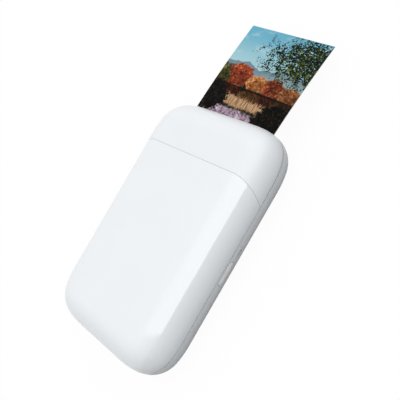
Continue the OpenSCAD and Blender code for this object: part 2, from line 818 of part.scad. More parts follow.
// Tray between the side plates: floor, back stop, paper guides, hinge ears and two posts
module paper_tray() {
    color("#3a3d42") difference() {
        union() {
            block([-plate_in, tray_back, tray_z - tray_t], [plate_in, tray_front, tray_z]);
            block([-guide_in - guide_t, tray_back - 0.6, tray_z - eps],
                [guide_in + guide_t, tray_back + 0.4, tray_z + guide_h]);
            both_sides() {
                hinge_ear();
                block([guide_in, tray_back, tray_z - eps],
                    [guide_in + guide_t, seam_foot - 1, tray_z + guide_h]);
                case_post(rear_boss);
            }
        }
        block([-pickup_l / 2 - 1, pickup_y - pickup_r - well_gap, 0],
            [pickup_l / 2 + 1, pickup_y + pickup_r + well_gap, far]);
        block([-pad_w / 2 - boss_clear, pad_y - boss_clear, tray_z - pad_t],
            [pad_w / 2 + boss_clear, pad_y + pad_l + boss_clear, far]);
        bar(motor, motor_r + motor_gap, -plate_out, motor_l - plate_in + motor_gap);
        both_sides() {
            rod([hinge_y, hinge_z], hinge_pin_r + shaft_play, hinge_x, ear_w + 2);
            post(rear_boss, 0, pilot_r, post_pilot_top);
        }
    }
}

module separator_pad() {
    color("#7a5c3e") block([-pad_w / 2, pad_y, tray_z - pad_t], [pad_w / 2, pad_y + pad_l, tray_z]);
}
module paper_stack() {
    color("#f7f7f4") for (i = [0 : stack_count - 1])
        translate([-sheet_w / 2, stack_back, stack_z + i * (sheet_t + stack_air)])
            cube([sheet_w, sheet_l, sheet_t]);
}
// The sheet in the slot: flat inside, hanging on one large radius outside
module print_sheet() {
    bend_y = half_l - 4;
    sheet_in = bend_y - stack_front - stack_gap;
    sheet_out = sheet_l - sheet_in;
    color("#6f9fb0") translate([0, bend_y, path_z]) rotate([0, 0, -sheet_skew])
        rotate([90, 0, 90]) translate([0, 0, -sheet_w / 2]) linear_extrude(sheet_w) {
            translate([-sheet_in, 0]) square([sheet_in, sheet_t]);
            intersection() {
                translate([0, sheet_t - droop_r]) difference() {
                    circle(droop_r);
                    circle(droop_r - sheet_t);
                }
                translate([0, -far]) square([sheet_out, 2 * far]);
            }
        }
}

// Plate that presses the stack on the pick-up tyre, with a window and two headed stems
module pressure_plate() {
    color("#54585e") {
        difference() {
            block([-press_w / 2, press_back, press_z], [press_w / 2, press_front, press_top]);
            block([-press_window[0] / 2, press_back + press_window[1], 0],
                [press_window[0] / 2, press_front - press_window[1], far]);
        }
        both_sides() {
            post([press_x, press_y], press_top - eps, stem_r, stem_head_low - press_top + 2 * eps);
            post([press_x, press_y], stem_head_low, stem_head_r, stem_head_h);
        }
    }
}
module press_springs() {
    color("silver") both_sides()
        sleeve([press_x, press_y], press_top, ceiling_z, press_spring_r, press_spring_t);
}

module pickup_shaft() {
    color("silver") bar(pickup, shaft_r, -plate_out, plane_one + gear_w);
}
module pickup_tyre() {
    color("#2b2b2d") tube(pickup, pickup_r, shaft_r, 0, pickup_l);
}
module pickup_gear() {
    color("#e8e4d8") gear(pickup, pickup_teeth, pickup_turn, plane_one, shaft_r);
}
module pickup_idler() {
    color("#e8e4d8")
        gear(pickup_idle, pickup_idler_teeth, pickup_idle_turn, plane_one, post_r + shaft_play);
}
module platen_shaft() {
    color("silver") bar(platen, shaft_r, -shaft_end, plane_one + gear_w);
}
module platen_roller() {
    color("#1f2022") tube(platen, platen_r, shaft_r, 0, platen_l);
}
module platen_drive_gear() {
    color("#e8e4d8") gear(platen, platen_teeth, 0, -shaft_end, shaft_r);
}
module platen_feed_gear() {
    color("#e8e4d8") gear(platen, platen_teeth, 0, plane_one, shaft_r);
}
module exit_shaft() {
    color("silver") bar(exit, shaft_r, -plate_out, plane_one + gear_w);
}
module exit_tyres() {
    color("#2b2b2d") both_sides() tube(exit, exit_r, shaft_r, tyre_x, tyre_w);
}
module exit_gear() {
    color("#e8e4d8") gear(exit, exit_teeth, exit_turn, plane_one, shaft_r);
}
module exit_idler() {
    color("#e8e4d8") gear(exit_idle, exit_idler_teeth, exit_idle_turn, plane_one, post_r + shaft_play);
}
module pinch_shaft() {
    color("silver") bar(pinch, pinch_shaft_r, -plate_out, plate_out);
}
module pinch_rollers() {
    color("#55585c") both_sides() tube(pinch, pinch_r, pinch_shaft_r, tyre_x, tyre_w);
}
module shaft_bushes() {
    color("#b08d57") both_sides() for (at = [pickup, platen, exit])
        tube(at, shaft_r + bush_wall, shaft_r + shaft_play, plate_in + plate_t / 2, plate_t);
}
module gear_posts() {
    color("silver") {
        bar(reduction, post_r, -shaft_end, -plate_in);
        for (at = [pickup_idle, exit_idle]) bar(at, post_r, plate_in, plane_one + gear_w);
    }
}
// Two gears and the hub between them, turning together on one post
module reduction_gear() {
    color("#e8e4d8") {
        gear(reduction, platen_teeth, 0, -plane_one - gear_w, post_r + shaft_play);
        gear(reduction, pinion_teeth, small_turn, -shaft_end, post_r + shaft_play);
        tube(reduction, gear_hub_r, post_r + shaft_play, gear_gap / 2 - plane_two, gear_gap + 2 * eps);
    }
}
module motor_case() {
    color("#a9adb2") difference() {
        union() {
            bar(motor, motor_r, -plate_in, motor_l - plate_in);
            bar(motor, motor_boss_r, -plate_out, eps - plate_in);
        }
        bar(motor, motor_shaft_r + shaft_play, -plate_out - 1, motor_l - plate_in - 1);
    }
}
module motor_shaft() {
    color("silver") bar(motor, motor_shaft_r, -plane_one - gear_w, motor_l - plate_in - 2);
}
module motor_pinion() {
    color("#c9a24b") gear(motor, pinion_teeth, pinion_turn, -plane_one - gear_w, motor_shaft_r);
}

module print_head() {
    color("#4b4f55")
        block([-head_l / 2, platen_y - head_d / 2, head_z], [head_l / 2, sink_front, sink_z]);
}
// Heat sink on the head, with fins, and an arm at each end that reaches the pivot pins
module head_sink() {
    color("#c4c7ca") difference() {
        union() {
            block([-head_l / 2, sink_back, sink_z], [head_l / 2, sink_front, sink_top]);
            both_sides() {
                block([head_l / 2 - arm_w, platen_y, sink_z + arm_lift],
                    [head_l / 2, head_pivot_y, head_pivot_z + arm_r]);
                rod([head_pivot_y, head_pivot_z], arm_r, (head_l - arm_w) / 2, arm_w);
            }
        }
        for (i = [-4 : 4])
            block([i * fin_pitch - fin_cut / 2, sink_back - 1, sink_z + sink_floor],
                [i * fin_pitch + fin_cut / 2, sink_front + 1, far]);
        rod([head_pivot_y, head_pivot_z], head_pin_r, 0, far);
    }
}
module head_pins() {
    color("silver") both_sides()
        bar([head_pivot_y, head_pivot_z], head_pin_r, head_l / 2 - arm_w, plate_out);
}
module head_springs() {
    color("silver") both_sides()
        sleeve([head_spring_x, platen_y], sink_top, ceiling_z, head_spring_r, head_spring_t);
}
module head_ribbon() {
    front = ribbon_y + ribbon_w;
    high = ribbon_low + ribbon_w;
    socket_top = board_top + ribbon_socket[2];
    color("#c9852f") {
        block([-ribbon_x, ribbon_back, socket_top],
            [ribbon_socket_x + ribbon_socket[0] - ribbon_t, ribbon_back + ribbon_w, socket_top + ribbon_t]);
        block([-ribbon_x, ribbon_back, socket_top], [ribbon_t - ribbon_x, ribbon_back + ribbon_w, high]);
        block([-ribbon_x, ribbon_back, ribbon_low], [ribbon_t - ribbon_x, ribbon_y + ribbon_t, high]);
        block([-ribbon_x, ribbon_y, ribbon_low], [-riser_x, ribbon_y + ribbon_t, high]);
        block([-riser_x - ribbon_t, ribbon_y, ribbon_low], [-riser_x, front, ribbon_top]);
        block([-riser_x - ribbon_t, ribbon_y, ribbon_top - ribbon_t],
            [ribbon_w - ribbon_end, front, ribbon_top]);
        block([-ribbon_end, sink_front, ribbon_top - ribbon_t],
            [ribbon_w - ribbon_end, front, ribbon_top]);
    }
}

module circuit_board() {
    color("#1f5c3a") difference() {
        block([-board_w / 2, board_back, board_z], [board_w / 2, board_front, board_top]);
        both_sides() for (at = board_posts) post(at, 0, board_hole_r, far);
    }
}
// A part on the board, by its low corner and its size
module on_board(x, y, size) {
    translate([x, y, board_top]) cube(size);
}
module board_parts() {
    color("#232427") {
        on_board(driver_at[0], board_back + driver_at[1], driver_chip);
        on_board(power_at[0], board_back + power_at[1], power_chip);
        on_board(battery_lead_xs[1] - battery_socket[0] / 2, board_back + socket_inset, battery_socket);
        on_board(ribbon_socket_x, ribbon_back + (ribbon_w - ribbon_socket[1]) / 2, ribbon_socket);
        on_board(light_x, light_y - light_w / 2, [light_w, light_w, lamp_h]);
        for (i = [0 : 3]) on_board(small_at[0] + i * small_pitch, board_back + small_at[1], small_part);
    }
}
module shield_can() {
    color("#b9bcc0") on_board(-can[0] / 2, board_back + can_inset, can);
}
module usb_socket() {
    middle = [usb_y, board_top + usb[2] / 2];
    color("#b4b7bb") difference() {
        pill(-usb_mouth, usb[0] - usb_mouth, middle, usb[1], usb[2]);
        difference() {
            pill(-usb_mouth - 1, usb[0] - usb_mouth - 1, middle,
                usb[1] - 2 * usb_wall, usb[2] - 2 * usb_wall);
            pill(2 * usb_wall - usb_mouth, usb[0] - usb_mouth, middle, usb[1] - 2.4, usb_tongue);
        }
    }
}
// Button with a flange behind the side wall and a rib down to the switch
module power_button() {
    color("#f4f6f7") {
        intersection() {
            pill(flange_x + flange_t, half_w + button_proud, [button_y, button_z], button_l, button_h);
            translate([half_w + button_proud - button_crown, button_y, button_z]) rotate([90, 0, 0])
                linear_extrude(button_l, center = true) {
                    circle(button_crown);
                    translate([-far, -button_crown]) square([far, 2 * button_crown]);
                }
        }
        pill(flange_x, flange_x + flange_t, [button_y, button_z],
            button_l + 2 * flange_lap, button_h + 2 * flange_lap);
        block([plunger_tip, button_y - button_rib[0] / 2, plunger_z - button_rib[1] / 2],
            [flange_x, button_y + button_rib[0] / 2, button_z]);
    }
}
module switch_body() {
    color("#303236") difference() {
        on_board(switch_x, button_y - switch_size[1] / 2, switch_size);
        bar([button_y, plunger_z], plunger_r + shaft_play, switch_x + switch_size[0] / 2, far);
    }
}
module switch_plunger() {
    color("#d8d8d8") bar([button_y, plunger_z], plunger_r, plunger_tip - 2 * plunger_out, plunger_tip);
}
module light_guide() {
    color("#5a5d60") {
        pill(light_x, half_w - light_inset, [light_y, light_z], light_l - 0.1, light_h - 0.1);
        block([light_x, light_y - light_w / 2, board_top + lamp_h + 0.1],
            [light_x + light_w, light_y + light_w / 2, light_z]);
    }
}

module battery() {
    color("#8f9aa3") block([-battery_w / 2, battery_front - battery_l, battery_z],
        [battery_w / 2, battery_front, battery_z + battery_t]);
}
module battery_pad() {
    border = 4;
    color("#2c2c2e") block([border - battery_w / 2, battery_front - battery_l + border, floor_z],
        [battery_w / 2 - border, battery_front - border, battery_z]);
}
module battery_leads() {
    color("#b3322b") for (x = battery_lead_xs)
        translate([x, battery_front, battery_lead_z]) rotate([-90, 0, 0])
            cylinder(r = battery_lead_r, h = board_back + socket_inset - battery_front);
}

module case_screws() {
    under = case_head_z + head_h;
    color("#6f7378") both_sides() for (at = [rear_boss, front_boss])
        screw(at, under, tray_z - tray_t + 0.2 - under);
}
module cap_screws() {
    color("#6f7378") both_sides() screw(cap_boss, bar_top - cap_flange_t, cap_screw_l);
}
module board_screws() {
    color("#6f7378") both_sides() for (at = board_posts) {
        post(at, board_top, board_head_r, head_h);
        post(at, board_z - 1, board_screw_r, board_t + 1 + eps);
    }
}

base_shell();
end_cap();
cover();
slot_trim();
rubber_feet();
side_plates();
crossbars();
paper_tray();
hinge_pins();
cover_magnets();
magnet_keepers();
paper_stack();
print_sheet();
pressure_plate();
press_springs();
separator_pad();
pickup_shaft();
pickup_tyre();
pickup_gear();
pickup_idler();
platen_shaft();
platen_roller();
platen_drive_gear();
platen_feed_gear();
exit_shaft();
exit_tyres();
exit_gear();
exit_idler();
pinch_shaft();
pinch_rollers();
shaft_bushes();
gear_posts();
reduction_gear();
motor_case();
motor_shaft();
motor_pinion();
print_head();
head_sink();
head_pins();
head_springs();
head_ribbon();
circuit_board();
board_parts();
shield_can();
usb_socket();
power_button();
switch_body();
switch_plunger();
light_guide();
battery();
battery_pad();
battery_leads();
case_screws();
cap_screws();
board_screws();
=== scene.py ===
"""Looks of a compact photo printer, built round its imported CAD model."""

import math

import bpy
import numpy as np
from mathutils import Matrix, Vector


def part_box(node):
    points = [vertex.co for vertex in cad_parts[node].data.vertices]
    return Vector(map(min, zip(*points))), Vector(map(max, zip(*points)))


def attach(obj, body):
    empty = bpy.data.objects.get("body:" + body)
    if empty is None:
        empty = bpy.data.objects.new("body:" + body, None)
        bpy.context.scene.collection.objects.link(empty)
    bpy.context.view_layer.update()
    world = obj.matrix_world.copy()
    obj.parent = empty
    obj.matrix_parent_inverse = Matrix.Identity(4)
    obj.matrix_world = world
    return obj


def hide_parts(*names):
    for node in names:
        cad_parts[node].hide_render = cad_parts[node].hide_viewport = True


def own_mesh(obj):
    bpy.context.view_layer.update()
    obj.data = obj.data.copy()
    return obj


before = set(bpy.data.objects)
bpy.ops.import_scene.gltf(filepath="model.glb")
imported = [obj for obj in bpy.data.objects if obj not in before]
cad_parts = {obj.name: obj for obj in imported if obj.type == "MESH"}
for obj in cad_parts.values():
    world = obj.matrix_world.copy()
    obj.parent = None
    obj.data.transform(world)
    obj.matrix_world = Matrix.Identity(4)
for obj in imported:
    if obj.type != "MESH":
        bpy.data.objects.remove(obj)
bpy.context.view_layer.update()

bl_info = {
    "name": "Compact photo printer",
    "version": (1, 0, 0),
    "blender": (4, 5, 0),
    "location": "View3D > Sidebar > Photo printer",
    "description": "Dresses the packed model of a compact photo printer and sets its studio",
    "category": "Object",
}

MM = 0.001
# Gaps narrower than this get painted shade between light plastic parts
CREVICE = 0.6 * MM
# The printed sheet's length, and the height of the far shore in its picture, in sheet widths
PICTURE_LENGTH = 1.52
SHORE = 0.89


def linear(code):
    """A hex colour as linear red, green and blue."""
    parts = [int(code[i:i + 2], 16) / 255 for i in (1, 3, 5)]
    return tuple(p / 12.92 if p <= 0.04045 else ((p + 0.055) / 1.055) ** 2.4 for p in parts)


def length(name, description, default):
    """A size in metres."""
    return bpy.props.FloatProperty(
        name=name, description=description, default=default, precision=5, unit="LENGTH"
    )


def angle(name, description, degrees):
    """An angle, from degrees."""
    return bpy.props.FloatProperty(
        name=name, description=description, default=math.radians(degrees), unit="ROTATION"
    )


def shade(name, description, code):
    """A colour, from its hex code."""
    return bpy.props.FloatVectorProperty(
        name=name, description=description, default=linear(code), size=3, subtype="COLOR"
    )


class PRINTER_PG_sizes(bpy.types.PropertyGroup):
    """Sizes of the pieces that the CAD model holds only in a plain form"""

    sheet_width: length("Sheet width", "Width of the sheet in the slot", 50 * MM)
    sheet_length: length("Sheet length", "Length of the sheet in the slot", 76 * MM)
    sheet_out: length("Sheet out", "Length of the sheet past its bend", 50 * MM)
    sheet_thickness: length("Sheet thickness", "Thickness of a sheet", 0.23 * MM)
    sheet_bend_y: length("Bend along Y", "Where the sheet leaves its guides", 54 * MM)
    sheet_z: length("Sheet height", "Height of the sheet's underside", 12.2 * MM)
    sheet_radius: length("Bend radius", "Radius that the sheet hangs to", 450 * MM)
    sheet_turn: angle("Sheet turn", "Turn of the sheet in the slot", -3.4)
    wire: length("Spring wire", "Thickness of the springs' wire", 0.5 * MM)


class PRINTER_PG_colours(bpy.types.PropertyGroup):
    """Colours of the main materials"""

    cover: shade("Cover", "Polished plastic of the cover", "#eef2f5")
    cap: shade("End cap", "Satin plastic of the end cap", "#eef1f4")
    base: shade("Base", "Satin plastic of the base", "#e9edf0")
    trim: shade("Trim", "Plastic round the slot", "#d9dde0")
    inner: shade("Frame", "Dark plastic of the tray and plates", "#34373b")
    rubber: shade("Rubber", "Rubber of the tyres", "#26272a")
    steel: shade("Steel", "Ground steel of the shafts", "#c6c9cd")
    acetal: shade("Acetal", "Plastic of the gears", "#e6e1d2")
    paper: shade("Paper", "Coated paper", "#f5f5f1")


class PRINTER_PG_studio(bpy.types.PropertyGroup):
    """Camera and light"""

    camera_at: bpy.props.FloatVectorProperty(
        name="Camera", description="Place of the camera",
        default=(0.1796, 0.00241, 0.19946), size=3, subtype="TRANSLATION", unit="LENGTH",
    )
    camera_turn: bpy.props.FloatVectorProperty(
        name="Camera turn", description="Turn of the camera",
        default=tuple(math.radians(a) for a in (25.3222, 34.9166, 37.5988)),
        size=3, subtype="EULER", unit="ROTATION",
    )
    lens: bpy.props.FloatProperty(
        name="Lens", description="Focal length in millimetres on a 36 mm sensor", default=52.23
    )
    shift: bpy.props.FloatVectorProperty(
        name="Shift", description="Shift of the frame", default=(0.0184, 0.057), size=2
    )
    floor_radius: length("Floor", "Radius of the floor", 3.0)
    shadow: bpy.props.FloatProperty(
        name="Shadow", description="Share of the floor's white that the object can shade",
        default=0.05, min=0.0, max=1.0,
    )
    floor_gloss: bpy.props.FloatProperty(
        name="Floor in gloss",
        description="Share of the floor's white that gloss sees on the dark side",
        default=0.4, min=0.0, max=1.0,
    )
    panel: bpy.props.FloatProperty(
        name="Panel", description="Brightness of the overhead panel that gloss reflects",
        default=3.2, min=0.0,
    )
    panel_edges: bpy.props.FloatVectorProperty(
        name="Panel edges", description="Where the panel ends, as x/z and y/z of a ray",
        default=(0.82, -0.24), size=2,
    )
    panel_reach: bpy.props.FloatProperty(
        name="Panel reach", description="How far inwards of its edge the panel fades out",
        default=1.85,
    )
    panel_blur: bpy.props.FloatProperty(
        name="Panel blur", description="Half the softness of the panel's edges", default=0.05
    )
    gap_depth: bpy.props.FloatProperty(
        name="Gap", description="How much darker gloss sees the dome beside the panel",
        default=0.9, min=0.0, max=1.0,
    )
    lead: bpy.props.FloatProperty(
        name="Lead", description="How much brighter the dome is ahead than behind", default=0.2,
    )


def sizes():
    return bpy.context.scene.printer_sizes


def colours():
    return bpy.context.scene.printer_colours


def studio():
    return bpy.context.scene.printer_studio


# Node trees

SMOOTH = {"interpolation_type": "SMOOTHSTEP"}
STRAIGHT = {"interpolation_type": "LINEAR"}
PLUS = {"operation": "ADD"}
MINUS = {"operation": "SUBTRACT"}
TIMES = {"operation": "MULTIPLY"}
TIMES_PLUS = {"operation": "MULTIPLY_ADD"}
LARGER = {"operation": "MAXIMUM"}
COLOUR = {"data_type": "RGBA"}


def add(tree, kind, sockets=(), **settings):
    """Adds a node with its settings and links, and returns its first output in use.

    Sockets are values in the order of the inputs in use, or a dictionary by name. A value may
    be another node's output, and a colour may leave out its alpha.
    """
    node = tree.nodes.new("ShaderNode" + kind)
    for name, value in settings.items():
        setattr(node, name, value)
    live = [socket for socket in node.inputs if socket.enabled]
    for key, value in sockets.items() if isinstance(sockets, dict) else enumerate(sockets):
        socket = node.inputs[key] if isinstance(key, str) else live[key]
        if isinstance(value, bpy.types.NodeSocket):
            tree.links.new(value, socket)
        elif socket.type == "RGBA" and len(value) == 3:
            socket.default_value = (*value, 1.0)
        else:
            socket.default_value = value
    return next((socket for socket in node.outputs if socket.enabled), None)


def new_material(name):
    """An empty material, its tree and its object coordinates."""
    material = bpy.data.materials.new(name)
    material.use_nodes = True
    tree = material.node_tree
    tree.nodes.clear()
    return material, tree, add(tree, "TexCoord").node.outputs["Object"]


def per_metre(size):
    """Scale of a pattern whose cells are this many millimetres across."""
    return 1.0 / (size * MM)


def finish(name, colour, rough, spread=0.05, tint=0.04, cloud=22.0, grain=0.1, grit=0.38,
           depth=0.004, streaks=(1.0, 1.0, 1.0), edge=0.0, crevice_shade=0.0, **values):
    """A material with a cloudy tint, uneven gloss, a fine grain or streaks, and eased edges.

    Its colour is c * (1 - tint * n1), its roughness r + spread * n2, and its height
    grain * depth * n3, where n1 to n3 are noises of the object's own coordinates. Millimetres
    give the clouds of tint, the grit of the grain, its depth, and the radius of an eased
    edge. In gaps narrower than CREVICE the colour is darkened by up to a given share: painted
    shade, worked out by an ambient occlusion node. Grit is drawn at 0.2 mm or more, because
    the real one, of hundredths, wouldn't show.
    """
    material, tree, where = new_material(name)
    clouds = add(tree, "TexNoise", (where, per_metre(cloud), 4.0))
    clouds = add(tree, "MapRange", (clouds, 0.35, 0.65), **SMOOTH)
    dark = tuple(c * (1 - tint) for c in colour)
    base = add(tree, "Mix", (clouds, colour, dark), **COLOUR)
    # Painted shade: the colour turns darker where an ambient occlusion node finds near surfaces
    # closing the point in
    if crevice_shade:
        free = add(tree, "AmbientOcclusion", {"Distance": CREVICE}, samples=6).node.outputs["AO"]
        gap_shade = add(tree, "MapRange", (free, 0.75, 0.15, 0.0, crevice_shade), **SMOOTH)
        base = add(tree, "Mix", (gap_shade, base, linear("#000000")), **COLOUR)
    smear = add(tree, "VectorMath", (where, (1.0, 0.6, 1.0)), **TIMES)
    smear = add(tree, "TexNoise", (smear, 3 * per_metre(cloud), 3.0))
    low, high = max(rough - spread, 0.02), rough + spread
    rough = add(tree, "MapRange", (smear, 0.3, 0.7, low, high), **SMOOTH)
    fine = add(tree, "VectorMath", (where, streaks), **TIMES)
    height = add(tree, "TexNoise", (fine, per_metre(grit)))
    sockets = {"Height": height, "Strength": grain, "Distance": depth * MM}
    if edge:
        sockets["Normal"] = add(tree, "Bevel", {"Radius": edge * MM}, samples=4)
    shader = add(tree, "BsdfPrincipled", {
        "Base Color": base, "Roughness": rough, "Normal": add(tree, "Bump", sockets), **values,
    })
    add(tree, "OutputMaterial", {"Surface": shader})
    return material


def polished_abs():
    """Cover: injection-moulded ABS out of a polished mould. White with a soft mirror over it."""
    return finish("polished_white_abs", colours().cover, 0.075, spread=0.012, tint=0.012,
                  grain=0.05, grit=1.1, depth=0.002, edge=0.12, IOR=1.5)


def satin_abs(name, colour, rough=0.34, edge=0.12, crevice_shade=0.0):
    """Cap, base and button: ABS out of a spark-eroded mould. White with a broad, dull sheen."""
    return finish(name, colour, rough, spread=0.03, tint=0.014, grain=0.16, grit=0.28,
                  depth=0.006, edge=edge, crevice_shade=crevice_shade,
                  **{"IOR": 1.47, "Specular IOR Level": 0.3})


def brushed_metal(name, colour, rough=0.28, along=(1.0, 0.04, 1.0), edge=0.0):
    """Drawn, ground or brushed metal. Fine streaks along one axis draw out its gloss."""
    return finish(name, colour, rough, spread=0.08, tint=0.12, cloud=6.3, grain=0.35,
                  grit=0.19, depth=0.004, streaks=along, edge=edge, Metallic=1.0)


def rubber(name, colour):
    """Ground rubber. Dull and nearly black, with an even nap."""
    return finish(name, colour, 0.72, spread=0.07, tint=0.22, cloud=3.3, grain=0.6,
                  grit=0.24, depth=0.02)


def dark_moulding():
    """Tray, plates and bars: eroded dark ABS. Matt grey, with clouds where it flowed."""
    return finish("moulded_dark_abs", colours().inner, 0.5, spread=0.08, tint=0.16,
                  cloud=8.3, grain=0.4, grit=0.33, depth=0.012, edge=0.12)


def board_mask():
    """Circuit board: green lacquer over copper tracks, which stand up, and pads of bare tin.

    The tracks run 1.2 mm apart, three times as wide as real ones, so that they show.
    """
    material, tree, where = new_material("solder_mask")
    tracks = add(tree, "TexBrick", {
        "Vector": where, "Scale": per_metre(2.4), "Mortar Size": 0.03, "Brick Width": 1.4,
        "Row Height": 0.5, "Color1": (0, 0, 0), "Color2": (0, 0, 0), "Mortar": (1, 1, 1),
    })
    areas = add(tree, "TexNoise", (where, per_metre(5.9), 1.0))
    broken = add(tree, "MapRange", (areas, 0.48, 0.52), **SMOOTH)
    track = add(tree, "Math", (tracks, broken), **TIMES)
    pads = add(tree, "TexVoronoi", (where, per_metre(1.6)))
    pad = add(tree, "MapRange", (pads, 0.16, 0.12), **SMOOTH)
    lacquer = add(tree, "Mix", (track, linear("#14492b"), linear("#2c7a4b")), **COLOUR)
    shader = add(tree, "BsdfPrincipled", {
        "Base Color": add(tree, "Mix", (pad, lacquer, linear("#c8c3ae")), **COLOUR),
        "Roughness": add(tree, "MapRange", (pad, 0.0, 1.0, 0.25, 0.4), **SMOOTH),
        "Normal": add(tree, "Bump", {"Height": track, "Strength": 0.5, "Distance": 0.03 * MM}),
    })
    add(tree, "OutputMaterial", {"Surface": shader})
    return material


def paper_edges():
    """Coated paper: white with a silky face. Its fibres, drawn 0.4 mm long, show at the edges."""
    material, tree, where = new_material("coated_paper")
    lying = add(tree, "VectorMath", (where, (1.0, 1.0, 6.0)), **TIMES)
    fibres = add(tree, "TexNoise", (lying, per_metre(0.42), 5.0))
    tint = add(tree, "MapRange", (fibres, 0.3, 0.7), **SMOOTH)
    shader = add(tree, "BsdfPrincipled", {
        "Base Color": add(tree, "Mix", (tint, colours().paper, linear("#e6e6e0")), **COLOUR),
        "Roughness": add(tree, "MapRange", (fibres, 0.3, 0.7, 0.3, 0.42), **SMOOTH),
        "Normal": add(tree, "Bump", {"Height": fibres, "Strength": 0.12, "Distance": 0.01 * MM}),
    })
    add(tree, "OutputMaterial", {"Surface": shader})
    return material


# The picture on the sheet. Its coordinates and scales are in sheet widths of 50 mm: x runs
# across it, and y towards its leading edge. A scale of 50 gives leaves of 1 mm.


def push(tree, where, size, scale, detail=2.0, rough=0.5):
    """A noise as a push of up to half the size, either way."""
    source = add(tree, "TexNoise", (where, scale, detail, rough))
    return add(tree, "Math", (source, size, -size / 2), **TIMES_PLUS)


def patch(tree, spot, centre, radii, ragged, softness=0.06):
    """An ellipse round a centre, its outline broken by a push: 1 inside and 0 outside."""
    offset = add(tree, "VectorMath", (spot, (*centre, 0.0)), **MINUS)
    shrunk = add(tree, "VectorMath", (offset, (1 / radii[0], 1 / radii[1], 0.0)), **TIMES)
    far = add(tree, "VectorMath", (shrunk,), operation="LENGTH")
    broken = add(tree, "Math", (far, ragged), **PLUS)
    return add(tree, "MapRange", (broken, 1.0 + softness, 1.0 - softness), **SMOOTH)


def leaves(tree, spot, scale, codes):
    """Foliage as small cells, each lit by chance, in three colours from shade to light."""
    shade, middle, bright = (linear(code) for code in codes)
    cells = add(tree, "TexVoronoi", (spot, scale)).node.outputs["Color"]
    chance = add(tree, "SeparateXYZ", (cells,))
    clump = add(tree, "TexNoise", (spot, scale * 0.2, 4.0, 0.65))
    clump = add(tree, "Math", (clump, 1.1), **TIMES)
    light = add(tree, "Math", (chance, 0.45, clump), **TIMES_PLUS)
    colour = add(tree, "MapRange", (light, 0.5, 0.85), **SMOOTH)
    colour = add(tree, "Mix", (colour, shade, middle), **COLOUR)
    lit = add(tree, "MapRange", (light, 0.85, 1.1), **SMOOTH)
    return add(tree, "Mix", (lit, colour, bright), **COLOUR)


def crown(tree, picture, spot, centre, radii, codes):
    """A tree's crown over the picture: ragged, with lit leaves towards the upper left."""
    broad = push(tree, spot, 0.6, 9.0)
    ragged = add(tree, "Math", (broad, push(tree, spot, 0.8, 34.0, 4.0, 0.75)), **PLUS)
    colour = leaves(tree, spot, 52.0, codes)
    lower = (centre[0] + 0.45 * radii[0], centre[1] - 0.55 * radii[1])
    shade = add(tree, "Math", (patch(tree, spot, lower, radii, ragged, 0.55), 0.62), **TIMES)
    colour = add(tree, "Mix", (shade, colour, linear(codes[0])), **COLOUR)
    return add(tree, "Mix", (patch(tree, spot, centre, radii, ragged), picture, colour), **COLOUR)


def picture_sky(tree, spot, y):
    """Teal sky, paler towards the hills, with thin cloud."""
    sky = add(tree, "MapRange", (y, 1.08, 1.5), **SMOOTH)
    sky = add(tree, "Mix", (sky, linear("#a5ccd3"), linear("#68adc6")), **COLOUR)
    cloud = add(tree, "VectorMath", (spot, (1.0, 2.6, 1.0)), **TIMES)
    cloud = add(tree, "TexNoise", (cloud, 3.4, 6.0, 0.55))
    cloud = add(tree, "MapRange", (cloud, 0.5, 0.72, 0.0, 0.5), **SMOOTH)
    return add(tree, "Mix", (cloud, sky, linear("#cfe0e1")), **COLOUR)


def picture_land(tree, picture, spot, x, y):
    """Two hills in haze, a line of firs, and autumn trees along the far shore."""
    hill = add(tree, "Math", (y, push(tree, spot, 0.22, 3.2, 5.0)), **PLUS)
    haze = add(tree, "MapRange", (hill, 1.02, 1.13), **SMOOTH)
    haze = add(tree, "Mix", (haze, linear("#8ba0a4"), linear("#6d8795")), **COLOUR)
    mask = add(tree, "MapRange", (hill, 1.13, 1.12), **SMOOTH)
    picture = add(tree, "Mix", (mask, picture, haze), **COLOUR)
    slope = add(tree, "Math", (x, 0.13, hill), **TIMES_PLUS)
    wooded = leaves(tree, spot, 60.0, ("#28332c", "#4a5844", "#8a7048"))
    mask = add(tree, "MapRange", (slope, 1.105, 1.09), **SMOOTH)
    picture = add(tree, "Mix", (mask, picture, wooded), **COLOUR)
    narrow = add(tree, "VectorMath", (spot, (15.0, 2.0, 1.0)), **TIMES)
    spikes = push(tree, narrow, 0.26, 3.0, 4.0, 0.7)
    tall = add(tree, "VectorMath", (spot, (1.0, 0.5, 1.0)), **TIMES)
    needles = leaves(tree, tall, 90.0, ("#0c120e", "#1d2a1c", "#3c4a2a"))
    firs = add(tree, "Math", (y, spikes), **PLUS)
    mask = add(tree, "MapRange", (firs, 1.0, 0.99), **SMOOTH)
    picture = add(tree, "Mix", (mask, picture, needles), **COLOUR)
    for centre, radii, codes in (
        ((0.24, 1.0), (0.17, 0.125), ("#4a1a10", "#a8482a", "#e08a56")),
        ((0.5, 0.965), (0.12, 0.09), ("#5c3116", "#b9713a", "#eeb57c")),
        ((0.7, 0.98), (0.11, 0.1), ("#3a1710", "#8d3d24", "#cf7446")),
        ((0.9, 0.955), (0.13, 0.08), ("#4e2c17", "#a06238", "#d9a071")),
        ((0.03, 0.95), (0.13, 0.1), ("#1a1a10", "#4a4a24", "#93853f")),
    ):
        picture = crown(tree, picture, spot, centre, radii, codes)
    return picture


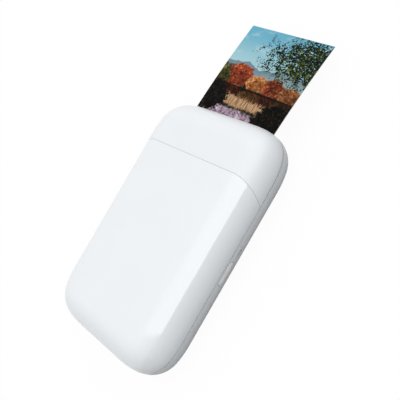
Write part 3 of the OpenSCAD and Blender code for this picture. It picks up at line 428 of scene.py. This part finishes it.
def picture_shore(tree, picture, spot, y):
    """The near shore: heather, a bed of dry reeds, and bushes in deep shade."""
    edge = add(tree, "Math", (y, push(tree, spot, 0.12, 9.0, 5.0, 0.62)), **PLUS)
    grass = leaves(tree, spot, 70.0, ("#0b0c0a", "#1f2417", "#4b4a2c"))
    mask = add(tree, "MapRange", (edge, 0.745, 0.73), **SMOOTH)
    picture = add(tree, "Mix", (mask, picture, grass), **COLOUR)
    heather = leaves(tree, spot, 55.0, ("#66505e", "#ab95a6", "#dccfd8"))
    mask = add(tree, "MapRange", (edge, 0.69, 0.66), **SMOOTH)
    picture = add(tree, "Mix", (mask, picture, heather), **COLOUR)
    upright = add(tree, "VectorMath", (spot, (75.0, 7.0, 1.0)), **TIMES)
    stalks = add(tree, "TexNoise", (upright, 1.0, 3.0, 0.6))
    tips = add(tree, "Math", (stalks, 2.6, -1.3), **TIMES_PLUS)
    tips = add(tree, "Math", (push(tree, spot, 1.6, 6.0, 3.0, 0.6), tips), **PLUS)
    straw = add(tree, "MapRange", (stalks, 0.3, 0.7), **SMOOTH)
    straw = add(tree, "Mix", (straw, linear("#6e4a30"), linear("#dcb58c")), **COLOUR)
    bed = patch(tree, spot, (0.46, 0.755), (0.4, 0.055), tips, 0.15)
    picture = add(tree, "Mix", (bed, picture, straw), **COLOUR)
    ragged = push(tree, spot, 1.3, 22.0, 5.0, 0.75)
    dusk = leaves(tree, spot, 60.0, ("#030303", "#0d0c0a", "#2a2418"))
    for centre, radii in (((0.02, 0.74), (0.25, 0.17)), ((0.93, 0.66), (0.26, 0.2))):
        bush = patch(tree, spot, centre, radii, ragged)
        picture = add(tree, "Mix", (bush, picture, dusk), **COLOUR)
    return picture


def picture_bough(tree, picture, spot):
    """A bough that hangs in at the upper right: single leaves, with sky between them."""
    ragged = push(tree, spot, 2.0, 10.0, 5.0, 0.75)
    reach = patch(tree, spot, (1.02, 1.3), (0.66, 0.27), ragged, 0.55)
    wide = add(tree, "VectorMath", (spot, (1.0, 1.5, 1.0)), **TIMES)
    thin = add(tree, "Math", (reach, 0.95, -0.08), **TIMES_PLUS)
    gap = add(tree, "Math", (thin, add(tree, "TexVoronoi", (wide, 62.0))), **MINUS)
    leaf = leaves(tree, spot, 70.0, ("#090d09", "#1f2a16", "#6d783c"))
    mask = add(tree, "MapRange", (gap, 0.0, 0.08), **SMOOTH)
    return add(tree, "Mix", (mask, picture, leaf), **COLOUR)


def printed_picture():
    """Face of the sheet in the slot: dye print under a clear coat. Deep colours, and even gloss.

    It shows an autumn lake. What lies above the far shore also shows upside down in the water:
    there y is mirrored at the shore and pushed by the ripples. The coat lies in waves of 30 mm.
    """
    material, tree, where = new_material("glossy_colour_print")
    flat = add(tree, "TexCoord").node.outputs["UV"]
    flat = add(tree, "VectorMath", (flat, (1.0, PICTURE_LENGTH, 0.0)), **TIMES)
    x, y = add(tree, "SeparateXYZ", (flat,)).node.outputs[:2]
    water = add(tree, "MapRange", (y, SHORE, SHORE - 0.01), **SMOOTH)
    wide = add(tree, "VectorMath", (flat, (3.0, 46.0, 1.0)), **TIMES)
    ripples = add(tree, "Math", (push(tree, wide, 0.1, 2.2, 3.0), water), **TIMES)
    height = add(tree, "Math", (y, SHORE), **MINUS)
    height = add(tree, "Math", (height,), operation="ABSOLUTE")
    mirrored = add(tree, "Math", (height, SHORE), **PLUS)
    mirrored = add(tree, "Math", (mirrored, ripples), **PLUS)
    spot = add(tree, "CombineXYZ", (add(tree, "Math", (x, ripples), **PLUS), mirrored))
    picture = picture_sky(tree, spot, mirrored)
    picture = picture_land(tree, picture, spot, x, mirrored)
    deep = add(tree, "Mix", (1.0, picture, linear("#7f8d92")), blend_type="MULTIPLY", **COLOUR)
    picture = add(tree, "Mix", (water, picture, deep), **COLOUR)
    bank = add(tree, "Math", (height, push(tree, flat, 0.03, 30.0, 3.0)), **PLUS)
    bank = add(tree, "MapRange", (bank, 0.014, 0.004), **SMOOTH)
    picture = add(tree, "Mix", (bank, picture, linear("#1a120d")), **COLOUR)
    picture = picture_shore(tree, picture, flat, y)
    picture = picture_bough(tree, picture, flat)
    gloss = add(tree, "TexNoise", (where, per_metre(17)))
    waves = add(tree, "TexNoise", (where, per_metre(29), 1.0))
    shader = add(tree, "BsdfPrincipled", {
        "Base Color": picture,
        "Roughness": add(tree, "MapRange", (gloss, 0.3, 0.7, 0.2, 0.27), **SMOOTH),
        "Normal": add(tree, "Bump", {"Height": waves, "Strength": 0.15, "Distance": 0.05 * MM}),
        "Specular IOR Level": 0.03,
    })
    add(tree, "OutputMaterial", {"Surface": shader})
    return material


# Geometry


def new_piece(name, points, faces, material, smooth=True, sharp=None):
    """A mesh object from whole arrays of points and faces."""
    mesh = bpy.data.meshes.new(name)
    mesh.from_pydata(points.reshape(-1, 3).tolist(), [], faces)
    mesh.validate()
    mesh.polygons.foreach_set("use_smooth", np.full(len(mesh.polygons), smooth))
    if sharp is not None:
        mesh.set_sharp_from_angle(angle=math.radians(sharp))
    mesh.materials.append(material)
    piece = bpy.data.objects.new(name, mesh)
    bpy.context.scene.collection.objects.link(piece)
    return piece


def grid_quads(rows, columns, wrap=False):
    """Faces of a grid of points in row order. With wrap, its last column meets the first."""
    steps = columns if wrap else columns - 1
    i, j = np.meshgrid(np.arange(rows - 1) * columns, np.arange(steps), indexing="ij")
    k = (j + 1) % columns
    return np.stack([i + j, i + k, i + columns + k, i + columns + j], -1).reshape(-1, 4)


def hanging_sheet(size, columns=25, rows=61):
    """Points, faces and picture coordinates of a sheet that leaves its guides and hangs down.

    The point u across and v ahead of the bend lies at (u, v, -d). Its drop d is 0 up to the
    bend, and R - sqrt(R^2 - v^2) past it: an arc of radius R. The back is the same grid one
    thickness lower, and quads along the rim join the two. Then all is turned by a about Z,
    (x cos a - y sin a, x sin a + y cos a), and moved to the bend.
    """
    across = np.linspace(-0.5, 0.5, columns) * size.sheet_width
    along = np.linspace(size.sheet_out - size.sheet_length, size.sheet_out, rows)
    u, v = (a.ravel() for a in np.meshgrid(across, along))
    drop = size.sheet_radius - np.sqrt(size.sheet_radius**2 - np.maximum(v, 0) ** 2)
    a = size.sheet_turn
    x = u * math.cos(a) - v * math.sin(a)
    y = u * math.sin(a) + v * math.cos(a) + size.sheet_bend_y
    z = size.sheet_z - drop
    points = np.concatenate([np.stack([x, y, z + size.sheet_thickness], 1), np.stack([x, y, z], 1)])
    count = rows * columns
    face = grid_quads(rows, columns)
    grid = np.arange(count).reshape(rows, columns)
    rim = np.concatenate([grid[0, :-1], grid[:-1, -1], grid[-1, :0:-1], grid[:0:-1, 0]])
    ahead = np.roll(rim, -1)
    edge = np.stack([rim + count, ahead + count, ahead, rim], 1)
    faces = np.concatenate([face, face[:, ::-1] + count, edge])
    picture = np.stack([u / size.sheet_width + 0.5, (v - along[0]) / size.sheet_length], 1)
    return points, faces, picture, len(face)


def spring_coil(radius, low, high, turns, wire, closed=1.0, steps=28, sides=10):
    """Points and faces of a compression spring on the Z axis, with its end turns closed.

    The wire's middle is (R cos 2 pi t, R sin 2 pi t, h), where h rises slowly over the closed
    turns and steadily between them. Round it lies a ring of points, r (n cos a + m sin a):
    n points away from the spring's axis, and m is the cross product of the wire's direction
    and n. A fan closes each end.
    """
    t = np.linspace(0, turns, int(turns * steps) + 1)
    slow = 0.35
    speed = np.where((t < closed) | (t > turns - closed), slow, 1.0)
    rise = np.concatenate([[0], np.cumsum((speed[1:] + speed[:-1]) / 2)]) * (t[1] - t[0])
    reach = (high - low) / rise[-1]
    turn = 2 * math.pi * t
    out = np.stack([np.cos(turn), np.sin(turn), 0 * t], 1)
    middle = out * radius + np.outer(low + rise * reach, (0, 0, 1))
    round_trip = 2 * math.pi * radius
    way = np.stack([-round_trip * np.sin(turn), round_trip * np.cos(turn), speed * reach], 1)
    way /= np.linalg.norm(way, axis=1)[:, None]
    other = np.cross(way, out)
    a = np.linspace(0, 2 * math.pi, sides, endpoint=False)[:, None]
    rings = middle[:, None] + wire / 2 * (out[:, None] * np.cos(a) + other[:, None] * np.sin(a))
    count = len(t) * sides
    points = np.concatenate([rings.reshape(-1, 3), middle[:1], middle[-1:]])
    first = np.arange(sides)
    last = count - sides + first
    fans = [[count, b, c] for b, c in zip(np.roll(first, -1).tolist(), first.tolist())]
    fans += [[count + 1, b, c] for b, c in zip(last.tolist(), np.roll(last, -1).tolist())]
    return points, grid_quads(len(t), sides, wrap=True).tolist() + fans


def coil_pair(name, node, wire, turns, material):
    """Two coil springs in the space of a node's two sleeves."""
    low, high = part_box(node)
    outer = (high.y - low.y) / 2
    coil, faces = spring_coil(outer - wire / 2, low.z + wire / 2, high.z - wire / 2, turns, wire)
    offset = np.array((high.x - outer, (high.y + low.y) / 2, 0))
    points = np.concatenate([coil + offset * (-1, 1, 1), coil + offset])
    faces += [[corner + len(coil) for corner in face] for face in faces]
    return new_piece(name, points, faces, material)


def dress(material, *nodes):
    """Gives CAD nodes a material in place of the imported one."""
    for node in nodes:
        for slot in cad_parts[node].material_slots:
            slot.material = material


class PRINTER_OT_casing(bpy.types.Operator):
    """Shells, trim, button, light window and feet"""

    bl_idname = "printer.casing"
    bl_label = "Casing"

    def execute(self, context):
        dress(polished_abs(), "cover")
        dress(satin_abs("satin_white_abs_cap", colours().cap), "end_cap")
        # The base and the trim get painted shade in their narrow gaps, at the parting line and
        # round the slot
        dress(satin_abs("satin_white_abs_base", colours().base, edge=0.06, crevice_shade=0.55),
              "base_shell")
        dress(satin_abs("satin_white_abs_trim", colours().trim, edge=0.0, crevice_shade=0.25),
              "slot_trim")
        dress(satin_abs("satin_white_abs_button", colours().cap, 0.26), "power_button")
        # Lightly smoked acrylic, moulded: a grey window with a little gloss
        dress(finish("smoked_light_pipe", linear("#b2b6b9"), 0.3, edge=0.08), "light_guide")
        dress(rubber("foot_rubber", linear("#3a3c3f")), "rubber_feet")
        return {"FINISHED"}


class PRINTER_OT_sheet(bpy.types.Operator):
    """The printed sheet in the slot, and the blank ones in the tray"""

    bl_idname = "printer.sheet"
    bl_label = "Printed sheet"

    def execute(self, context):
        points, faces, picture, printed = hanging_sheet(sizes())
        piece = new_piece("printed_sheet", points, faces.tolist(), printed_picture(), sharp=40)
        piece.data.materials.append(paper_edges())
        layer = piece.data.uv_layers.new(name="picture")
        corner = np.zeros(len(piece.data.loops), np.int32)
        piece.data.loops.foreach_get("vertex_index", corner)
        spots = picture[corner % len(picture)]
        layer.data.foreach_set("uv", spots.ravel().astype(np.float32))
        blank = (np.arange(len(faces)) >= printed).astype(np.int32)
        piece.data.polygons.foreach_set("material_index", blank)
        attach(piece, "print_sheet")
        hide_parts("print_sheet")
        dress(paper_edges(), "paper_stack")
        return {"FINISHED"}


class PRINTER_OT_springs(bpy.types.Operator):
    """Coil springs over the pressure plate and the print head"""

    bl_idname = "printer.springs"
    bl_label = "Coil springs"

    def execute(self, context):
        wire = sizes().wire
        head_wire = 0.9 * wire
        press_turns, head_turns = 5.0, 4.5
        # Drawn spring steel: bright, with streaks along the wire's draw
        steel = brushed_metal("drawn_spring_wire", linear("#b6b9bd"), 0.24)
        press = coil_pair("press_coils", "press_springs", wire, press_turns, steel)
        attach(press, "cover")
        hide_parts("press_springs")
        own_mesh(press)
        head = coil_pair("head_coils", "head_springs", head_wire, head_turns, steel)
        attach(head, "casing")
        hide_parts("head_springs")
        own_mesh(head)
        return {"FINISHED"}


class PRINTER_OT_mechanism(bpy.types.Operator):
    """Materials of the tray, rollers, gears, motor and print head"""

    bl_idname = "printer.mechanism"
    bl_label = "Mechanism"

    def execute(self, context):
        dress(dark_moulding(), "paper_tray", "side_plates", "crossbars", "pinch_rollers")
        # Acetal, moulded and grey: matt, a shade lighter than the tray
        dress(finish("moulded_acetal_plate", linear("#4f5358"), 0.42, tint=0.1, grain=0.3,
                     edge=0.15), "pressure_plate")
        # Cork bound with rubber: brown crumbs of 1 mm, quite dull
        dress(finish("cork_and_rubber", linear("#7a5c3e"), 0.85, tint=0.45, cloud=1.1,
                     grain=0.8, depth=0.04), "separator_pad")
        dress(brushed_metal("ground_steel", colours().steel, 0.2), "hinge_pins", "pickup_shaft",
              "platen_shaft", "exit_shaft", "pinch_shaft", "gear_posts", "motor_shaft",
              "head_pins")
        dress(rubber("tyre_rubber", colours().rubber), "pickup_tyre", "exit_tyres")
        dress(rubber("silicone_rubber", linear("#1d1e20")), "platen_roller")
        # Natural acetal, moulded: cream gears with a waxy sheen
        acetal = finish("moulded_acetal", colours().acetal, 0.38, spread=0.06, tint=0.05,
                        grain=0.15, edge=0.08)
        dress(acetal, "pickup_gear", "pickup_idler", "platen_drive_gear", "platen_feed_gear",
              "exit_gear", "exit_idler", "reduction_gear")
        # Sintered bronze: brown gold, dulled by its pores and oil
        dress(brushed_metal("sintered_bronze", linear("#a9854f"), 0.4), "shaft_bushes")
        # Cut brass: yellow, with bright tooth flanks
        dress(brushed_metal("cut_brass", linear("#c9a24b"), 0.25), "motor_pinion")
        # Steel can, deep drawn and zinc plated: grey, streaked along its length
        dress(brushed_metal("drawn_can", linear("#a3a7ac"), 0.3, (0.05, 1.0, 1.0)), "motor_case")
        # Glazed alumina: a dark bar with a wet gloss
        dress(finish("glazed_ceramic", linear("#474b51"), 0.18, tint=0.1), "print_head")
        # Aluminium, extruded and left bare: pale grey, with the die's lines along it
        dress(brushed_metal("extruded_aluminium", linear("#c3c6c9"), 0.34, (1.0, 0.03, 1.0),
                            0.1), "head_sink")
        # Nickel plate: nearly a mirror, faintly yellow
        dress(brushed_metal("nickel_plate", linear("#b9b8b6"), 0.14), "cover_magnets")
        # Stamped steel: mid grey, with a rolled face
        dress(brushed_metal("stamped_steel", linear("#94979c"), 0.36), "magnet_keepers")
        return {"FINISHED"}


class PRINTER_OT_electronics(bpy.types.Operator):
    """Materials of the board, what stands on it, the battery and the cables"""

    bl_idname = "printer.electronics"
    bl_label = "Electronics"

    def execute(self, context):
        dress(board_mask(), "circuit_board")
        # Epoxy, moulded: black chips with a fine matt grain
        dress(finish("moulded_epoxy", linear("#1d1e21"), 0.5, tint=0.2, cloud=1.4,
                     grain=0.5, edge=0.08), "board_parts", "switch_body")
        # Tinned steel: a soft, bright grey with rolling streaks
        dress(brushed_metal("tinned_steel", linear("#b7babd"), 0.3, (0.05, 1.0, 1.0), 0.2),
              "shield_can")
        # Steel shell, folded and nickelled: bright, streaked along the fold
        dress(brushed_metal("nickel_shell", linear("#b2b3b5"), 0.25, (0.06, 1.0, 1.0)),
              "usb_socket")
        # Nylon, moulded: off-white and milky
        dress(finish("moulded_nylon", linear("#d6d6d4"), 0.45, tint=0.06), "switch_plunger")
        # Polyimide film: amber, with a smooth gloss
        dress(finish("polyimide_film", linear("#b8701f"), 0.25, tint=0.2, cloud=2.5),
              "head_ribbon")
        # Aluminium foil pouch: silver, with shallow creases 1.4 mm apart
        dress(finish("foil_pouch", linear("#a5abb0"), 0.36, spread=0.1, tint=0.12, cloud=3.8,
                     grain=0.5, grit=1.4, depth=0.03, edge=0.6, Metallic=0.85), "battery")
        # Foam with adhesive: black and quite dull
        dress(rubber("adhesive_foam", linear("#2b2b2d")), "battery_pad")
        # PVC sleeves: red with a soft gloss
        dress(finish("pvc_insulation", linear("#b0302a"), 0.35, tint=0.1), "battery_leads")
        # Steel, blackened in oil: dark grey, still a metal's gloss
        dress(brushed_metal("blackened_steel", linear("#6a6d72"), 0.34), "case_screws",
              "cap_screws", "board_screws")
        return {"FINISHED"}


class PRINTER_OT_stage(bpy.types.Operator):
    """Floor, world and camera"""

    bl_idname = "printer.stage"
    bl_label = "Stage"

    def execute(self, context):
        self.floor()
        self.world(context)
        self.camera(context)
        return {"FINISHED"}

    def seen(self, tree, where):
        """How far a ray sees the floor as white: 1 from the camera or through a clear body.

        Gloss sees it white left of the object's middle, and less so towards its dark side.
        """
        dark_side = 45 * MM
        path = add(tree, "LightPath").node.outputs
        side = add(tree, "SeparateXYZ", (where,))
        share = add(tree, "MapRange", (side, 0.0, dark_side, 1.0, studio().floor_gloss), **SMOOTH)
        gloss = add(tree, "Math", (path["Is Glossy Ray"], share), **TIMES)
        first = add(tree, "Math", (path["Is Camera Ray"], gloss), **LARGER)
        return add(tree, "Math", (first, path["Is Transmission Ray"]), **LARGER)

    def floor(self):
        """A white floor that keeps a faint shadow, and throws no light back on the object."""
        material, tree, where = new_material("studio_floor")
        glow = add(tree, "Emission", {"Color": linear("#ffffff"), "Strength": 1.0})
        matt = add(tree, "BsdfDiffuse", {"Color": linear("#ffffff")})
        white = add(tree, "MixShader", (studio().shadow, glow, matt))
        dark = add(tree, "BsdfDiffuse", {"Color": linear("#272727")})
        both = add(tree, "MixShader", (self.seen(tree, where), dark, white))
        add(tree, "OutputMaterial", {"Surface": both})
        sides, clearance = 96, 0.2 * MM
        turn = np.linspace(0, 2 * math.pi, sides, endpoint=False)
        radius = studio().floor_radius
        level = np.full(sides, -clearance)
        rim = np.stack([radius * np.cos(turn), radius * np.sin(turn), level], 1)
        floor = new_piece("studio_floor", rim, [list(range(sides))], material, smooth=False)

    def world(self, context):
        """A white dome that lights the front a little more, and looks even to the camera.

        Gloss also sees a panel overhead, and a gap beside it. A reflected ray meets the panel's
        plane at x/z, y/z. The panel's brightness there falls in a straight line from its long
        edge inwards, and both of its edges are sharp. It stops short of the horizon.
        """
        light = studio()
        least_height, fade_start = 0.02, 0.2
        horizon, right_side = (0.1, 0.3), (0.0, 0.2)
        world = bpy.data.worlds.new("studio_dome")
        world.use_nodes = True
        tree = world.node_tree
        tree.nodes.clear()
        sky_way = add(tree, "TexCoord").node.outputs["Generated"]
        x, y, z = add(tree, "SeparateXYZ", (sky_way,)).node.outputs
        path = add(tree, "LightPath").node.outputs
        height = add(tree, "Math", (z, least_height), **LARGER)
        across = add(tree, "Math", (x, height), operation="DIVIDE")
        along = add(tree, "Math", (y, height), operation="DIVIDE")
        inward = add(tree, "Math", (light.panel_edges[0], across), **MINUS)
        ahead = add(tree, "Math", (along, light.panel_edges[1]), **MINUS)
        blur = light.panel_blur
        panel = (inward, fade_start, light.panel_reach, light.panel, 0.0)
        panel = add(tree, "MapRange", panel, **STRAIGHT)
        for edge in ((inward, -blur, blur), (ahead, -blur, blur), (z, *horizon)):
            panel = add(tree, "Math", (panel, add(tree, "MapRange", edge, **SMOOTH)), **TIMES)
        beside = add(tree, "MapRange", (inward, blur, -blur, 0.0, -light.gap_depth), **SMOOTH)
        right = add(tree, "MapRange", (x, *right_side), **SMOOTH)
        gap = add(tree, "Math", (beside, right), **TIMES)
        extra = add(tree, "Math", (panel, gap), **PLUS)
        glossy = add(tree, "Math", (extra, path["Is Glossy Ray"]), **TIMES)
        unseen = add(tree, "Math", (1.0, path["Is Camera Ray"]), **MINUS)
        slope = add(tree, "Math", (y, light.lead), **TIMES)
        dome = add(tree, "Math", (slope, unseen, 1.0), **TIMES_PLUS)
        strength = add(tree, "Math", (glossy, dome), **PLUS)
        sky = add(tree, "Background", {"Color": linear("#ffffff"), "Strength": strength})
        add(tree, "OutputWorld", {"Surface": sky})
        context.scene.world = world

    def camera(self, context):
        """The camera that the photograph was fitted with, on a 36 mm sensor."""
        data = bpy.data.cameras.new("camera")
        data.sensor_width = 36
        data.lens = studio().lens
        data.shift_x, data.shift_y = studio().shift
        camera = bpy.data.objects.new("camera", data)
        camera.location = studio().camera_at
        camera.rotation_euler = studio().camera_turn
        context.scene.collection.objects.link(camera)
        context.scene.camera = camera


class PRINTER_PT_panel(bpy.types.Panel):
    """Lists what the printer's looks are made of"""

    bl_idname = "PRINTER_PT_panel"
    bl_label = "Photo printer"
    bl_space_type = "VIEW_3D"
    bl_region_type = "UI"
    bl_category = "Photo printer"

    def draw(self, context):
        for operator in OPERATORS:
            self.layout.operator(operator.bl_idname)
        for group in ("printer_sizes", "printer_colours", "printer_studio"):
            settings = getattr(context.scene, group)
            for name in settings.__annotations__:
                self.layout.prop(settings, name)


GROUPS = {
    "printer_sizes": PRINTER_PG_sizes,
    "printer_colours": PRINTER_PG_colours,
    "printer_studio": PRINTER_PG_studio,
}
OPERATORS = (
    PRINTER_OT_casing,
    PRINTER_OT_sheet,
    PRINTER_OT_springs,
    PRINTER_OT_mechanism,
    PRINTER_OT_electronics,
    PRINTER_OT_stage,
)
CLASSES = (*GROUPS.values(), *OPERATORS, PRINTER_PT_panel)


def register():
    for entry in CLASSES:
        bpy.utils.register_class(entry)
    for name, group in GROUPS.items():
        setattr(bpy.types.Scene, name, bpy.props.PointerProperty(type=group))


def unregister():
    for name in GROUPS:
        delattr(bpy.types.Scene, name)
    for entry in reversed(CLASSES):
        bpy.utils.unregister_class(entry)


def main():
    register()
    bpy.context.scene.view_settings.view_transform = "Standard"
    for operator in OPERATORS:
        group, name = operator.bl_idname.split(".")
        getattr(getattr(bpy.ops, group), name)()


if __name__ == "__main__":
    main()
